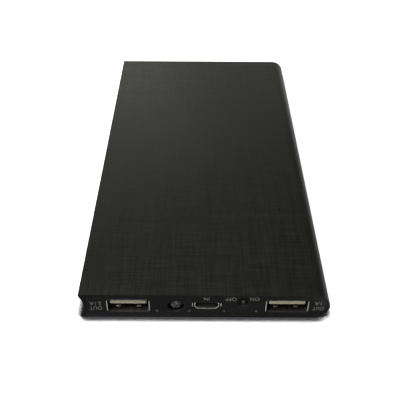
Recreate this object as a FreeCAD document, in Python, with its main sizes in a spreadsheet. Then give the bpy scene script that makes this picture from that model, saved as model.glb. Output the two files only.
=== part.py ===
import FreeCAD, Part
import Sketcher
import os
import re

# Slim book-shaped power bank. The origin is the middle of the face it lies on: X runs across
# the case to the round spine, Y runs along it away from the sockets, and Z is up.

doc = FreeCAD.newDocument("PowerBank")
sheet = doc.addObject("Spreadsheet::Sheet", "Sizes")

# Driving dimensions in millimetres
sizes = {
    # case
    "caseWidth": 76.0,
    "caseLength": 146.0,
    "caseHeight": 10.2,
    "caseWall": 0.8,
    "grooveDepth": 1.2,  # the hollow "page" side, measured in from the skins' edges
    "grooveLip": 0.9,  # height of each skin's edge beside the hollow
    # end caps
    "capPlate": 1.2,  # from the sleeve's end to the back of the plate
    "capRecess": 0.1,  # from the sleeve's end to the face of the plate
    "capGap": 0.06,  # all round the plate, inside the sleeve
    "skirtWall": 0.7,
    "skirtDepth": 3.0,
    "fitGap": 0.1,
    "snapWidth": 6.0,
    "snapLength": 1.0,
    "snapHeight": 0.25,
    "snapSpread": 24.0,
    "snapBack": 0.5,  # from the skirt's free edge to the snaps
    # circuit board
    "boardTop": 4.15,
    "boardThick": 1.0,
    "boardWidth": 66.0,
    "boardDepth": 21.6,
    "boardGap": 0.2,
    "boardClear": 0.15,  # around the parts that sit in the board's notches
    "boardShift": -0.3,
    "bossGapLeft": 0.55,  # from a socket's side to the screw boss beside it
    "bossGapRight": 2.05,
    "bossGapTorch": 0.3,  # from the back of the torch lamp to the bosses
    "screwShank": 0.8,
    "screwHead": 1.25,
    "screwHeadTall": 0.9,
    "screwFloor": 0.55,  # boss left under a screw's tip
    "slotWide": 0.3,
    "slotDeep": 0.35,
    "bossWidth": 4.0,
    "bossFloor": 0.8,
    # large sockets
    "leftSocket": -23.3,
    "rightSocket": 25.0,
    "socketMiddle": 5.15,
    "socketWide": 13.1,
    "socketTall": 5.72,
    "socketLong": 14.0,
    "socketWall": 0.3,
    "socketRecess": 0.12,
    "tongueWide": 11.1,
    "tongueThick": 1.9,
    "tongueDrop": 0.41,  # gap over the tongue
    "tongueRecess": 0.5,
    "plugStop": 3.0,  # thickness of the plastic block behind the tongue
    "fingerSpread": 6.3,
    "fingerWide": 1.5,
    "fingerLong": 6.0,
    "fingerFront": 1.3,
    "fingerReach": 0.7,
    "fingerThick": 0.25,
    "fingerClear": 0.25,  # beside the finger in its window
    "fingerTip": 0.3,  # along the finger to its turned-down tip, and to each end of its flat top
    "fingerTopNear": 0.9,
    "fingerTopFar": 1.5,
    "fingerTurn": 0.35,  # how far the tip turns down
    "earFirst": 2.8,
    "earSecond": 11.0,
    "earLong": 2.5,
    "earOut": 1.2,
    "contactWide": 1.0,
    "contactThick": 0.3,
    "contactPitch": 2.4,
    "contactSet": 1.0,  # from the tongue's tip back to the contacts
    "contactTail": 0.5,
    "contactFoot": 1.4,
    # charging socket
    "inletPlace": 0.55,
    "inletMiddle": 5.45,
    "inletWide": 7.5,
    "inletTall": 2.6,
    "inletLong": 5.6,
    "inletWall": 0.25,
    "inletChamfer": 0.75,
    "inletTongueWide": 5.2,
    "inletTongueThick": 0.65,
    "inletContactWide": 0.35,
    "inletContactPitch": 0.65,
    "inletContactThick": 0.2,
    "inletContactProud": 0.05,
    "inletContactSet": 0.9,
    "inletTongueSet": 0.45,
    "inletTongueRise": 0.55,  # gap under the tongue
    "inletStop": 1.2,
    "lipLong": 0.8,
    "lipOut": 0.72,
    "lipRise": 0.25,
    # torch lamp
    "torchPlace": -8.85,
    "torchMiddle": 5.05,
    "torchRadius": 2.4,
    "torchLong": 8.6,
    "torchFlange": 2.8,
    "torchFlangeLong": 1.0,
    "torchTip": 0.1,  # from the socket face back to the tip of the dome
    "torchHole": 2.55,
    "legWide": 0.5,
    "legPitch": 2.54,
    "legLong": 3.4,
    "legSet": 5.0,  # from the dome's tip back to the legs
    "cupSet": 4.1,
    "cupReach": 0.7,  # how far the cup's arm goes past the lamp's middle
    "cupDeep": 1.2,
    "cupTall": 1.0,
    "cupMouth": 0.45,
    "cupBottom": 0.25,
    "cupHollow": 0.5,
    "cupAside": 0.2,
    "postSet": 4.4,
    "postWide": 0.7,
    "postDeep": 0.9,
    "postTall": 0.8,
    "notchBack": 0.4,  # from the lamp's back to the end of its notch in the board
    # charge indicators
    "pipInner": 10.7,
    "pipOuter": 30.4,
    "pipDrop": 0.4,  # from the board's underside down to the middle of the pips
    "pipRadius": 0.46,
    "pipFlange": 0.65,
    "pipLong": 1.6,
    "lampWide": 1.5,
    "lampDeep": 0.8,
    "lampTall": 0.6,
    # on-off slide switch
    "switchPlace": 11.67,
    "windowWide": 2.8,
    "windowTall": 3.6,
    "windowRise": 0.8,  # from the knob's middle up to the window's
    "windowCorner": 0.8,
    "knobWide": 1.2,
    "knobTall": 1.7,
    "knobRise": 2.15,  # from the board up to the knob's middle
    "knobRecess": 0.25,
    "knobTravel": 0.65,
    "switchWide": 8.5,
    "switchTall": 3.6,
    "switchDeep": 3.6,
    "coverThick": 0.2,
    "switchSet": 0.3,  # from the plate's back to the switch
    "slideClear": 0.1,
    "shoeOut": 0.8,  # how far the knob's shoe stands out on each side
    "shoeSet": 0.15,
    "shoeDeep": 1.2,
    "roomDeep": 2.2,
    "wiperThick": 0.3,
    "wiperOut": 0.6,
    "wiperInset": 0.25,
    "switchPinPitch": 2.5,
    "switchPinWide": 0.5,
    "switchPinLong": 1.2,
    "switchPinThick": 0.3,
    # cells
    "cellWidth": 33.5,
    "cellLength": 110.0,
    "cellThick": 7.6,
    "cellGap": 0.6,
    "cellShift": -0.7,
    "cellCorner": 1.6,
    "cellFront": 30.5,  # from the socket face to the cells
    "tapeThick": 0.2,
    "foamInset": 4.0,
    "terraceLong": 3.0,
    "terraceThick": 0.5,
    "terraceInset": 1.5,
    "tabWide": 4.0,
    "tabLong": 3.0,
    "tabThick": 0.15,
    "tabSpread": 17.0,
    "wireRadius": 0.6,
    "wireOverlap": 1.6,
    "wireGap": 0.4,  # from the wire's end to the cell
    "bumperTall": 5.0,
    "bumperInset": 6.7,
    "tabPaperInset": 1.7,
    "floorPaperInset": 3.0,
    "floorPaperGap": 0.2,
    "paperThick": 0.15,
    # parts on the board
    "coilWide": 7.0,
    "coilTall": 3.8,
    "coilFlange": 0.8,
    "coilNeck": 1.6,
    "coilPlace": 2.0,
    "coilBack": 15.0,  # from the board's front edge
    "coilInset": 0.5,  # of the winding inside the flanges
    "chipBack": 14.5,
    "boostPlace": -9.0,
    "boostWide": 4.9,
    "controlPlace": 13.2,
    "controlWide": 9.9,
    "chipDeep": 3.9,
    "chipTall": 1.5,
    "chipLift": 0.1,
    "pinThick": 0.2,
    "pinWide": 0.42,
    "pinPitch": 1.27,
    "pinOut": 1.05,
    "pinShoulder": 0.5,
    "smallTall": 1.0,
    "guardWide": 3.0,
    "guardDeep": 4.4,
    "outputWide": 2.9,
    "outputDeep": 1.4,
    "capacitorWide": 1.6,
    "capacitorDeep": 2.4,
    "capacitorTall": 1.2,
    "resistorWide": 1.6,
    "resistorDeep": 0.8,
    "resistorTall": 0.45,
}

for row, (alias, value) in enumerate(sizes.items(), start=1):
    sheet.set(f"A{row}", alias)
    sheet.set(f"B{row}", str(value))
    sheet.setAlias(f"B{row}", alias)
doc.recompute()

nodes = []


def tied(text):
    """The expression text with each driving dimension's name looked up in the sheet."""
    return re.sub(r"[A-Za-z]+", lambda m: f"Sizes.{m[0]}" if m[0] in sizes else m[0], str(text))


def worked_out(text):
    """The expression text's value as a plain number."""
    value = sheet.evalExpression(tied(text))
    return float(getattr(value, "Value", value))


def place(item, x, y, z):
    item.setExpression("Placement.Base.x", tied(x))
    item.setExpression("Placement.Base.y", tied(y))
    item.setExpression("Placement.Base.z", tied(z))
    return item


def block(name, x, y, z, wide, deep, tall):
    """A box whose lowest corner is at x, y, z."""
    item = doc.addObject("Part::Box", name)
    item.setExpression("Length", tied(wide))
    item.setExpression("Width", tied(deep))
    item.setExpression("Height", tied(tall))
    return place(item, x, y, z)


def centred(name, x, y, z, wide, deep, tall):
    """A box centred on x across, with its front face at y and its middle height at z."""
    return block(name, f"{x} - ({wide}) / 2", y, f"{z} - ({tall}) / 2", wide, deep, tall)


turns = {
    "X": FreeCAD.Rotation(FreeCAD.Vector(0, 1, 0), 90),
    "Y": FreeCAD.Rotation(FreeCAD.Vector(1, 0, 0), -90),
    "Z": FreeCAD.Rotation(),
}


def rod(name, x, y, z, radius, length, along="Y"):
    """A cylinder that starts at x, y, z and runs along +X, +Y or +Z."""
    item = doc.addObject("Part::Cylinder", name)
    item.Placement.Rotation = turns[along]
    item.setExpression("Radius", tied(radius))
    item.setExpression("Height", tied(length))
    return place(item, x, y, z)


def ball(name, x, y, z, radius):
    item = doc.addObject("Part::Sphere", name)
    item.setExpression("Radius", tied(radius))
    return place(item, x, y, z)


def fused(name, *items):
    item = doc.addObject("Part::MultiFuse", name)
    item.Shapes = list(items)
    return item


def cut(name, base, *tools):
    item = doc.addObject("Part::Cut", name)
    item.Base = base
    item.Tool = tools[0] if len(tools) == 1 else fused(f"{name}_tools", *tools)
    return item


def shared(name, *items):
    item = doc.addObject("Part::MultiCommon", name)
    item.Shapes = list(items)
    return item


def group(name, items):
    """Several separate solids that make up one sub-part."""
    item = doc.addObject("Part::Compound", name)
    item.Links = list(items)
    return item


def rounded(name, base, radius, pick):
    """base with the edges that pick(edge) chooses rounded by a sheet dimension."""
    doc.recompute()
    item = doc.addObject("Part::Fillet", name)
    item.Base = base
    size = worked_out(radius)
    item.Edges = [(i, size, size) for i, edge in enumerate(base.Shape.Edges, start=1) if pick(edge)]
    return item


def runs_along(axis):
    """Chooses the straight edges that run along one axis."""

    def pick(edge):
        if edge.Curve.TypeId != "Part::GeomLine":
            return False
        way = edge.Curve.Direction
        return abs(getattr(way, axis)) > 0.999

    return pick


def node(label, item):
    item.Label = label
    nodes.append(item)
    return item


# ---- sketched bodies ----

planes = {
    # plane role: which way a positive offset goes along the plane's own normal
    "XZ_Plane": -1,
    "YZ_Plane": 1,
    "XY_Plane": 1,
}


def sketched(name, plane, offset, corners, length):
    """A body padded by length from a closed polygon drawn on plane, offset along that plane's axis.
    Each corner is a pair of expressions, and the pad runs along the positive axis."""
    body = doc.addObject("PartDesign::Body", name)
    sketch = body.newObject("Sketcher::SketchObject", f"{name}_outline")
    for feature in body.Origin.OriginFeatures:
        if feature.Role == plane:
            sketch.AttachmentSupport = [(feature, "")]
    sketch.MapMode = "FlatFace"
    way = planes[plane]
    sketch.setExpression("AttachmentOffset.Base.z", tied(f"{way} * ({offset})"))
    points = [FreeCAD.Vector(worked_out(u), worked_out(v), 0) for u, v in corners]
    count = len(points)
    for i in range(count):
        sketch.addGeometry(Part.LineSegment(points[i], points[(i + 1) % count]), False)
    for i in range(count):
        sketch.addConstraint(Sketcher.Constraint("Coincident", i, 2, (i + 1) % count, 1))
    for i, (u, v) in enumerate(corners):
        for kind, text, value in (("DistanceX", u, points[i].x), ("DistanceY", v, points[i].y)):
            index = sketch.addConstraint(Sketcher.Constraint(kind, -1, 1, i, 1, value))
            sketch.setExpression(f"Constraints[{index}]", tied(text))
    pad = body.newObject("PartDesign::Pad", f"{name}_pad")
    pad.Profile = sketch
    pad.Reversed = way < 0
    pad.setExpression("Length", tied(length))
    body.Tip = pad
    return body


# ---- outline of the case, used by the case itself and by both end caps ----

front = "-caseLength / 2"
back = "caseLength / 2"
plateBack = f"({front} + capPlate)"
capFace = f"({front} + capRecess)"
innerRadius = "((caseHeight / 2 - grooveLip) ^ 2 + grooveDepth ^ 2) / (2 * grooveDepth)"


def book(name, inset, start, length):
    """The case's outline drawn in by inset: flat skins, a half-round spine and a hollow page side."""
    tall = f"(caseHeight - 2 * ({inset}))"
    spine = "(caseWidth / 2 - caseHeight / 2)"
    slab = block(f"{name}_slab", f"-caseWidth / 2 + {inset}", start, inset,
                 f"{spine} + caseWidth / 2 - ({inset})", length, tall)
    round_side = rod(f"{name}_spine", spine, start, "caseHeight / 2", f"{tall} / 2", length)
    hollow = rod(f"{name}_hollow", f"-caseWidth / 2 + grooveDepth - {innerRadius}", start,
                 "caseHeight / 2", f"{innerRadius} + {inset}", length)
    return cut(name, fused(f"{name}_full", slab, round_side), hollow)


def snap_blocks(name, start, grow, reach):
    """Four small bars on the cap's skirt, two over and two under, or with grow the grooves they click into."""
    items = []
    wide = f"snapWidth + 2 * {grow}"
    deep = f"snapLength + 2 * {grow}"
    for i, side in enumerate((-1, 1)):
        across = f"{side} * snapSpread / 2 - ({wide}) / 2"
        items.append(block(f"{name}_over{i}", across, f"{start} - {grow}", "caseHeight - caseWall - skirtWall",
                           wide, deep, f"skirtWall + {reach}"))
        items.append(block(f"{name}_under{i}", across, f"{start} - {grow}", f"caseWall - ({reach})",
                           wide, deep, f"skirtWall + {reach}"))
    return items


frontSnap = f"({plateBack} + skirtDepth - snapBack - snapLength)"
backSnap = f"({back} - capPlate - skirtDepth + snapBack)"


def make_case():
    outer = book("case_outer", "0", front, "caseLength")
    inner = book("case_inner", "caseWall", front, "caseLength")
    tube = cut("case_tube", outer, inner)
    grooves = snap_blocks("front_groove", frontSnap, "fitGap", "snapHeight + fitGap")
    grooves += snap_blocks("back_groove", backSnap, "fitGap", "snapHeight + fitGap")
    node("case_sleeve", cut("case_sleeve", tube, *grooves))


def cap_blank(name, plate_start, skirt_start, snap_start):
    """The plate that closes one end of the sleeve, and the skirt with its snaps that holds it there."""
    plate = book(f"{name}_plate", "caseWall + capGap", plate_start, "capPlate - capRecess")
    skirt_outer = book(f"{name}_skirt_outer", "caseWall + fitGap", skirt_start, "skirtDepth")
    skirt_inner = book(f"{name}_skirt_inner", "caseWall + fitGap + skirtWall", skirt_start, "skirtDepth")
    skirt = cut(f"{name}_skirt", skirt_outer, skirt_inner)
    bars = snap_blocks(f"{name}_snap", snap_start, "0", "snapHeight")
    return fused(f"{name}_blank", plate, skirt, *bars)


screwBack = "(torchTip + torchLong + bossGapTorch + bossWidth / 2)"
screwLine = f"({front} + {screwBack})"
boardUnder = "(boardTop - boardThick)"
bossTop = "(caseWall + fitGap + bossFloor)"
screwReach = f"({boardUnder} - caseWall - fitGap - screwFloor)"
pipMiddle = f"({boardUnder} - pipDrop)"
knobMiddle = "(boardTop + knobRise)"
windowMiddle = f"({knobMiddle} + windowRise)"
screw_places = [
    "(leftSocket + socketWide / 2 + bossGapLeft + bossWidth / 2)",
    "(rightSocket - socketWide / 2 - bossGapRight - bossWidth / 2)",
]
boardFront = f"({plateBack} + boardGap)"


def hexagon(place_x, middle, wide, tall, chamfer):
    """Corners of the charging socket's flattened outline: six sides, widest above its lower chamfers."""
    half = f"({wide}) / 2"
    low = f"{middle} - ({tall}) / 2"
    high = f"{middle} + ({tall}) / 2"
    return [
        (f"{place_x} - {half} + {chamfer}", low),
        (f"{place_x} + {half} - {chamfer}", low),
        (f"{place_x} + {half}", f"{low} + {chamfer}"),
        (f"{place_x} + {half}", f"{high} - {chamfer} / 3"),
        (f"{place_x} + {half} - {chamfer} / 3", high),
        (f"{place_x} - {half} + {chamfer} / 3", high),
        (f"{place_x} - {half}", f"{high} - {chamfer} / 3"),
        (f"{place_x} - {half}", f"{low} + {chamfer}"),
    ]


pip_places = ["-pipOuter / 2", "-pipInner / 2", "pipInner / 2", "pipOuter / 2"]


def make_front_cap():
    blank = cap_blank("front", capFace, plateBack, frontSnap)
    bosses = []
    for i, x in enumerate(screw_places):
        bosses.append(block(f"boss_floor{i}", f"{x} - bossWidth / 2", plateBack, "caseWall + fitGap",
                            "bossWidth", f"{screwBack} - capPlate + bossWidth / 2", "bossFloor"))
        bosses.append(rod(f"boss_post{i}", x, screwLine, "caseWall + fitGap", "bossWidth / 2",
                          f"{boardUnder} - caseWall - fitGap", "Z"))
    solid = fused("front_solid", blank, *bosses)
    holes = []
    for i, x in enumerate(("leftSocket", "rightSocket")):
        holes.append(centred(f"socket_hole{i}", x, front, "socketMiddle", "socketWide + 2 * fitGap",
                             "capPlate", "socketTall + 2 * fitGap"))
    lip_wide = "inletWide + 2 * lipOut + 2 * fitGap"
    lip_tall = "inletTall + 2 * lipRise + 2 * fitGap"
    holes.append(sketched("inlet_hole", "XZ_Plane", front,
                          hexagon("inletPlace", "inletMiddle", lip_wide, lip_tall, "(inletChamfer + lipRise)"),
                          "capPlate"))
    holes.append(rod("torch_hole", "torchPlace", front, "torchMiddle", "torchHole", "capPlate"))
    for i, x in enumerate(pip_places):
        holes.append(rod(f"pip_hole{i}", f"inletPlace + {x}", front, pipMiddle, "pipRadius", "capPlate"))
    for i, x in enumerate(screw_places):
        holes.append(rod(f"screw_hole{i}", x, screwLine, f"{boardUnder} - {screwReach}", "screwShank",
                         screwReach, "Z"))
    window = centred("window_block", "switchPlace", front, windowMiddle, "windowWide", "capPlate", "windowTall")
    holes.append(rounded("window", window, "windowCorner", runs_along("y")))
    node("front_cap", cut("front_cap", solid, *holes))


def make_rear_cap():
    rear_plate = f"{back} - capPlate"
    node("rear_cap", cap_blank("rear", rear_plate, f"{rear_plate} - skirtDepth", backSnap))


# ---- circuit board ----

boardEdge = "(-boardWidth / 2 + boardShift)"
notchEnd = f"({front} + socketRecess + socketLong)"


def make_board():
    plate = block("board_plate", boardEdge, boardFront, boardUnder, "boardWidth", "boardDepth", "boardThick")
    openings = []
    for i, x in enumerate(("leftSocket", "rightSocket")):
        openings.append(block(f"socket_notch{i}", f"{x} - socketWide / 2 - boardClear", boardFront, boardUnder,
                              "socketWide + 2 * boardClear", f"{notchEnd} - {boardFront} + boardClear",
                              "boardThick"))
    openings.append(block("torch_notch", "torchPlace - torchFlange - boardClear", boardFront, boardUnder,
                          "2 * torchFlange + 2 * boardClear", "torchTip + torchLong - capPlate + notchBack",
                          "boardThick"))
    for i, x in enumerate(screw_places):
        openings.append(rod(f"board_hole{i}", x, screwLine, boardUnder, "screwShank + fitGap", "boardThick",
                            "Z"))
    node("circuit_board", cut("circuit_board", plate, *openings))


def make_screws():
    screws = []
    for i, x in enumerate(screw_places):
        shank = rod(f"shank{i}", x, screwLine, f"{boardUnder} - {screwReach}", "screwShank",
                    f"{screwReach} + boardThick", "Z")
        head = rod(f"head{i}", x, screwLine, "boardTop", "screwHead", "screwHeadTall", "Z")
        slot = centred(f"slot{i}", x, f"{screwLine} - screwHead", "boardTop + screwHeadTall",
                       "slotWide", "2 * screwHead", "2 * slotDeep")
        cross = block(f"cross{i}", f"{x} - screwHead", f"{screwLine} - slotWide / 2",
                      "boardTop + screwHeadTall - slotDeep", "2 * screwHead", "slotWide", "slotDeep")
        screws.append(cut(f"screw{i}", fused(f"screw_blank{i}", shank, head), slot, cross))
    node("board_screws", group("board_screws", screws))


# ---- large sockets ----

socketFront = f"({front} + socketRecess)"
socketBack = f"({socketFront} + socketLong)"
tongueTop = "(socketMiddle + socketTall / 2 - socketWall - tongueDrop)"
tongueUnder = f"({tongueTop} - tongueThick)"
shellFloor = "(socketMiddle - socketTall / 2)"


def make_socket(name, x):
    outer = centred(f"{name}_outer", x, socketFront, "socketMiddle", "socketWide", "socketLong", "socketTall")
    outer = rounded(f"{name}_outer_round", outer, "socketWall * 2", runs_along("y"))
    inner = centred(f"{name}_inner", x, socketFront, "socketMiddle", "socketWide - 2 * socketWall",
                    "socketLong", "socketTall - 2 * socketWall")
    inner = rounded(f"{name}_inner_round", inner, "socketWall", runs_along("y"))
    fingers = []
    windows = []
    finger_front = f"({socketFront} + fingerFront)"
    for i, side in enumerate((-1, 1)):
        middle = f"({x} + {side} * fingerSpread / 2)"
        windows.append(block(f"{name}_window{i}", f"{middle} - fingerWide / 2 - fingerClear", finger_front,
                             shellFloor, "fingerWide + 2 * fingerClear", "fingerLong", "socketWall"))
        # a leaf that rises from the shell's floor towards the mouth and turns down again at its tip
        low = shellFloor
        apex = f"({low} + fingerReach)"
        fingers.append(sketched(f"{name}_finger{i}", "YZ_Plane", f"{middle} - fingerWide / 2", [
            (f"{finger_front} + fingerLong", low),
            (f"{finger_front} + fingerLong", f"{low} + fingerThick"),
            (f"{finger_front} + fingerTopFar", f"{apex} + fingerThick"),
            (f"{finger_front} + fingerTopNear", f"{apex} + fingerThick"),
            (f"{finger_front} + fingerTip", f"{apex} + fingerThick - fingerTurn"),
            (f"{finger_front} + fingerTip", f"{apex} - fingerTurn"),
            (f"{finger_front} + fingerTopNear", apex),
            (f"{finger_front} + fingerTopFar", apex),
        ], "fingerWide"))
    ears = []
    for i, start in enumerate((f"{socketFront} + earFirst", f"{socketFront} + earSecond")):
        for j, edge in enumerate((f"{x} - socketWide / 2 - earOut", f"{x} + socketWide / 2 - socketWall")):
            ears.append(block(f"{name}_ear{i}{j}", edge, start, "boardTop", "earOut + socketWall",
                              "earLong", "socketWall"))
    tube = cut(f"{name}_tube", outer, inner, *windows)
    node(f"{name}_shell", fused(f"{name}_shell", tube, *fingers, *ears))

    contacts = []
    start = f"({socketFront} + tongueRecess + contactSet)"
    end = f"({socketBack} + contactTail)"
    for i in range(4):
        middle = f"({x} + ({i} - 1.5) * contactPitch)"
        blade = centred(f"{name}_blade{i}", middle, start, f"{tongueUnder} + contactThick / 3", "contactWide",
                        f"{end} - {start}", "contactThick")
        tail = block(f"{name}_tail{i}", f"{middle} - contactWide / 2", f"{end} - contactThick", "boardTop",
                     "contactWide", "contactThick", f"{tongueUnder} - boardTop + contactThick * 5 / 6")
        foot = block(f"{name}_foot{i}", f"{middle} - contactWide / 2", f"{end} - contactThick", "boardTop",
                     "contactWide", "contactFoot", "contactThick")
        contacts.append(fused(f"{name}_contact{i}", blade, tail, foot))
    pins = group(f"{name}_contacts", contacts)

    tongue_front = f"({socketFront} + tongueRecess)"
    tongue = block(f"{name}_tongue_plate", f"{x} - tongueWide / 2", tongue_front, tongueUnder, "tongueWide",
                   f"{socketBack} - {tongue_front}", "tongueThick")
    stop = centred(f"{name}_stop", x, f"{socketBack} - plugStop", "socketMiddle", "socketWide - 2 * socketWall",
                   "plugStop", "socketTall - 2 * socketWall")
    stop = rounded(f"{name}_stop_round", stop, "socketWall", runs_along("y"))
    node(f"{name}_tongue", cut(f"{name}_tongue", fused(f"{name}_plastic", tongue, stop), pins))
    node(f"{name}_contacts", pins)


# ---- charging socket ----

inletFront = f"({front} + socketRecess)"
inletFloor = "(inletMiddle - inletTall / 2)"


def make_inlet():
    outer = sketched("inlet_outer", "XZ_Plane", inletFront,
                     hexagon("inletPlace", "inletMiddle", "inletWide", "inletTall", "inletChamfer"),
                     "inletLong")
    inner = sketched("inlet_inner", "XZ_Plane", inletFront,
                     hexagon("inletPlace", "inletMiddle", "(inletWide - 2 * inletWall)",
                             "(inletTall - 2 * inletWall)", "(inletChamfer - inletWall / 2)"), "inletLong")
    lips = []
    # two side lips and the lower lip lean outwards at the mouth
    for i, side in enumerate((-1, 1)):
        edge = f"(inletPlace + {side} * (inletWide / 2 - inletWall))"
        lips.append(sketched(f"inlet_side_lip{i}", "XY_Plane", "inletMiddle - inletTall / 2 + inletChamfer", [
            (edge, f"{inletFront} + lipLong"),
            (f"{edge} + {side} * inletWall", f"{inletFront} + lipLong"),
            (f"{edge} + {side} * (inletWall + lipOut)", inletFront),
            (f"{edge} + {side} * lipOut", inletFront),
        ], "inletTall - inletChamfer * 4 / 3"))
    half = "(inletWide / 2 - inletChamfer)"
    lips.append(sketched("inlet_low_lip", "YZ_Plane", f"inletPlace - {half}", [
        (f"{inletFront} + lipLong", inletFloor),
        (f"{inletFront} + lipLong", f"{inletFloor} + inletWall"),
        (inletFront, f"{inletFloor} + inletWall - lipRise"),
        (inletFront, f"{inletFloor} - lipRise"),
    ], f"2 * {half}"))
    tube = cut("inlet_tube", outer, inner)
    node("inlet_shell", fused("inlet_shell", tube, *lips))

    pins = []
    tongue_middle = f"({inletFloor} + inletWall + inletTongueRise + inletTongueThick / 2)"
    for i in range(5):
        middle = f"(inletPlace + ({i} - 2) * inletContactPitch)"
        pins.append(centred(f"inlet_pin{i}", middle, f"{inletFront} + inletContactSet",
                            f"{tongue_middle} + inletTongueThick / 2 - inletContactProud", "inletContactWide",
                            "inletLong - inletContactSet", "inletContactThick"))
    contacts = group("inlet_contacts", pins)
    plate = centred("inlet_plate", "inletPlace", f"{inletFront} + inletTongueSet", tongue_middle,
                    "inletTongueWide", "inletLong - inletTongueSet", "inletTongueThick")
    stop = sketched("inlet_stop", "XZ_Plane", f"({inletFront} + inletLong - inletStop)",
                    hexagon("inletPlace", "inletMiddle", "(inletWide - 2 * inletWall)",
                            "(inletTall - 2 * inletWall)", "(inletChamfer - inletWall / 2)"),
                    "inletStop")
    node("inlet_tongue", cut("inlet_tongue", fused("inlet_plastic", plate, stop), contacts))
    node("inlet_contacts", contacts)


# ---- torch lamp ----

def make_torch():
    tip = f"({front} + torchTip)"
    dome = ball("torch_dome", "torchPlace", f"{tip} + torchRadius", "torchMiddle", "torchRadius")
    body = rod("torch_body", "torchPlace", f"{tip} + torchRadius", "torchMiddle", "torchRadius",
               "torchLong - torchRadius")
    flange = rod("torch_rim", "torchPlace", f"{tip} + torchLong - torchFlangeLong", "torchMiddle",
                 "torchFlange", "torchFlangeLong")
    legs = []
    end = f"({tip} + torchLong)"
    for i, side in enumerate((-1, 1)):
        middle = f"(torchPlace + {side} * legPitch / 2)"
        inside = centred(f"leg_inside{i}", middle, f"{tip} + legSet", "torchMiddle", "legWide",
                         "torchLong - legSet + legLong", "legWide")
        down = block(f"leg_down{i}", f"{middle} - legWide / 2", f"{end} + legLong - legWide", "boardTop",
                     "legWide", "legWide", "torchMiddle - boardTop")
        legs.append((inside, down))
    cup_back = block("cup_arm", "torchPlace - legPitch / 2 - legWide / 2", f"{tip} + cupSet",
                     "torchMiddle - cupTall / 2", "legPitch / 2 + legWide / 2 + cupReach", "cupDeep", "cupTall")
    cup_hole = doc.addObject("Part::Cone", "cup_hole")
    cup_hole.Placement.Rotation = turns["Y"]
    cup_hole.setExpression("Radius1", tied("cupMouth"))
    cup_hole.setExpression("Radius2", tied("cupBottom"))
    cup_hole.setExpression("Height", tied("cupHollow"))
    place(cup_hole, "torchPlace + cupAside", f"{tip} + cupSet", "torchMiddle")
    cup = cut("cup", cup_back, cup_hole)
    post = centred("post", "torchPlace + legPitch / 2", f"{tip} + postSet", "torchMiddle", "postWide",
                   "postDeep", "postTall")
    frame = group("torch_leads", [fused("anvil_lead", cup, *legs[0]), fused("post_lead", post, *legs[1])])
    lens = fused("torch_glass", dome, body, flange)
    node("torch_lamp", cut("torch_lamp", lens, frame))
    node("torch_leads", frame)


# ---- charge indicators ----

def make_indicators():
    pips = []
    lamps = []
    for i, offset in enumerate(pip_places):
        x = f"(inletPlace + {offset})"
        head = rod(f"pip_head{i}", x, capFace, pipMiddle, "pipRadius", "capPlate - capRecess")
        collar = rod(f"pip_collar{i}", x, plateBack, pipMiddle, "pipFlange", "pipLong - capPlate")
        # the collar fits between the board above it and the cap's skirt and screw bosses below it
        room = block(f"pip_room{i}", f"{x} - pipFlange", plateBack, bossTop, "2 * pipFlange",
                     "pipLong - capPlate", f"{boardUnder} - {bossTop}")
        pips.append(fused(f"pip{i}", head, shared(f"pip_collar_cut{i}", collar, room)))
        lamps.append(block(f"lamp{i}", f"{x} - lampWide / 2", f"{front} + pipLong + fitGap",
                           f"{boardUnder} - lampTall", "lampWide", "lampDeep", "lampTall"))
    node("indicator_pips", group("indicator_pips", pips))
    node("indicator_lamps", group("indicator_lamps", lamps))


# ---- on-off switch ----

switchFront = f"({plateBack} + switchSet)"


def make_switch():
    case = block("switch_case", "switchPlace - switchWide / 2", switchFront, "boardTop", "switchWide",
                 "switchDeep", "switchTall")
    room_wide = "(knobWide + 2 * shoeOut + 2 * knobTravel + 2 * slideClear)"
    room_tall = "(knobTall + 2 * slideClear)"
    room = centred("switch_room", "switchPlace", switchFront, knobMiddle, room_wide, "roomDeep", room_tall)
    node("switch_base", cut("switch_base", case, room))

    cover_front = block("cover_front", "switchPlace - switchWide / 2", f"{switchFront} - coverThick",
                        "boardTop", "switchWide", "coverThick", "switchTall + coverThick")
    cover_top = block("cover_top", "switchPlace - switchWide / 2", switchFront, "boardTop + switchTall",
                      "switchWide", "switchDeep", "coverThick")
    slot = centred("cover_slot", "switchPlace", f"{switchFront} - coverThick", knobMiddle,
                   "knobWide + 2 * knobTravel + 2 * slideClear", "coverThick", room_tall)
    node("switch_cover", cut("switch_cover", fused("cover_blank", cover_front, cover_top), slot))

    pins = []
    for i in range(3):
        middle = f"(switchPlace + ({i} - 1) * switchPinPitch)"
        pins.append(block(f"switch_pin{i}", f"{middle} - switchPinWide / 2", f"{switchFront} + switchDeep",
                          "boardTop", "switchPinWide", "switchPinLong", "switchPinThick"))
    node("switch_pins", group("switch_pins", pins))

    tip = f"({front} + knobRecess)"
    stem = centred("knob_stem", "switchPlace", tip, knobMiddle, "knobWide", f"{switchFront} - {tip} + shoeSet",
                   "knobTall")
    stem = rounded("knob_round", stem, "knobWide / 4", lambda edge: runs_along("y")(edge) or (
        edge.BoundBox.YMax < worked_out(tip) + 0.01))
    shoe = centred("knob_shoe", "switchPlace", f"{switchFront} + shoeSet", knobMiddle,
                   "knobWide + 2 * shoeOut", "shoeDeep", "knobTall")
    node("switch_knob", fused("switch_knob", stem, shoe))
    wiper = centred("switch_wiper", "switchPlace", f"{switchFront} + shoeSet + shoeDeep", knobMiddle,
                    "knobWide + 2 * wiperOut", "wiperThick", "knobTall - 2 * wiperInset")
    node("switch_wiper", wiper)


# ---- cells ----

cellFloor = "(caseWall + tapeThick)"
cellStart = f"({front} + cellFront)"
cell_places = {
    "left": "(cellShift - cellGap / 2 - cellWidth / 2)",
    "right": "(cellShift + cellGap / 2 + cellWidth / 2)",
}
terraceMiddle = "(boardTop - tabThick / 2)"


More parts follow.
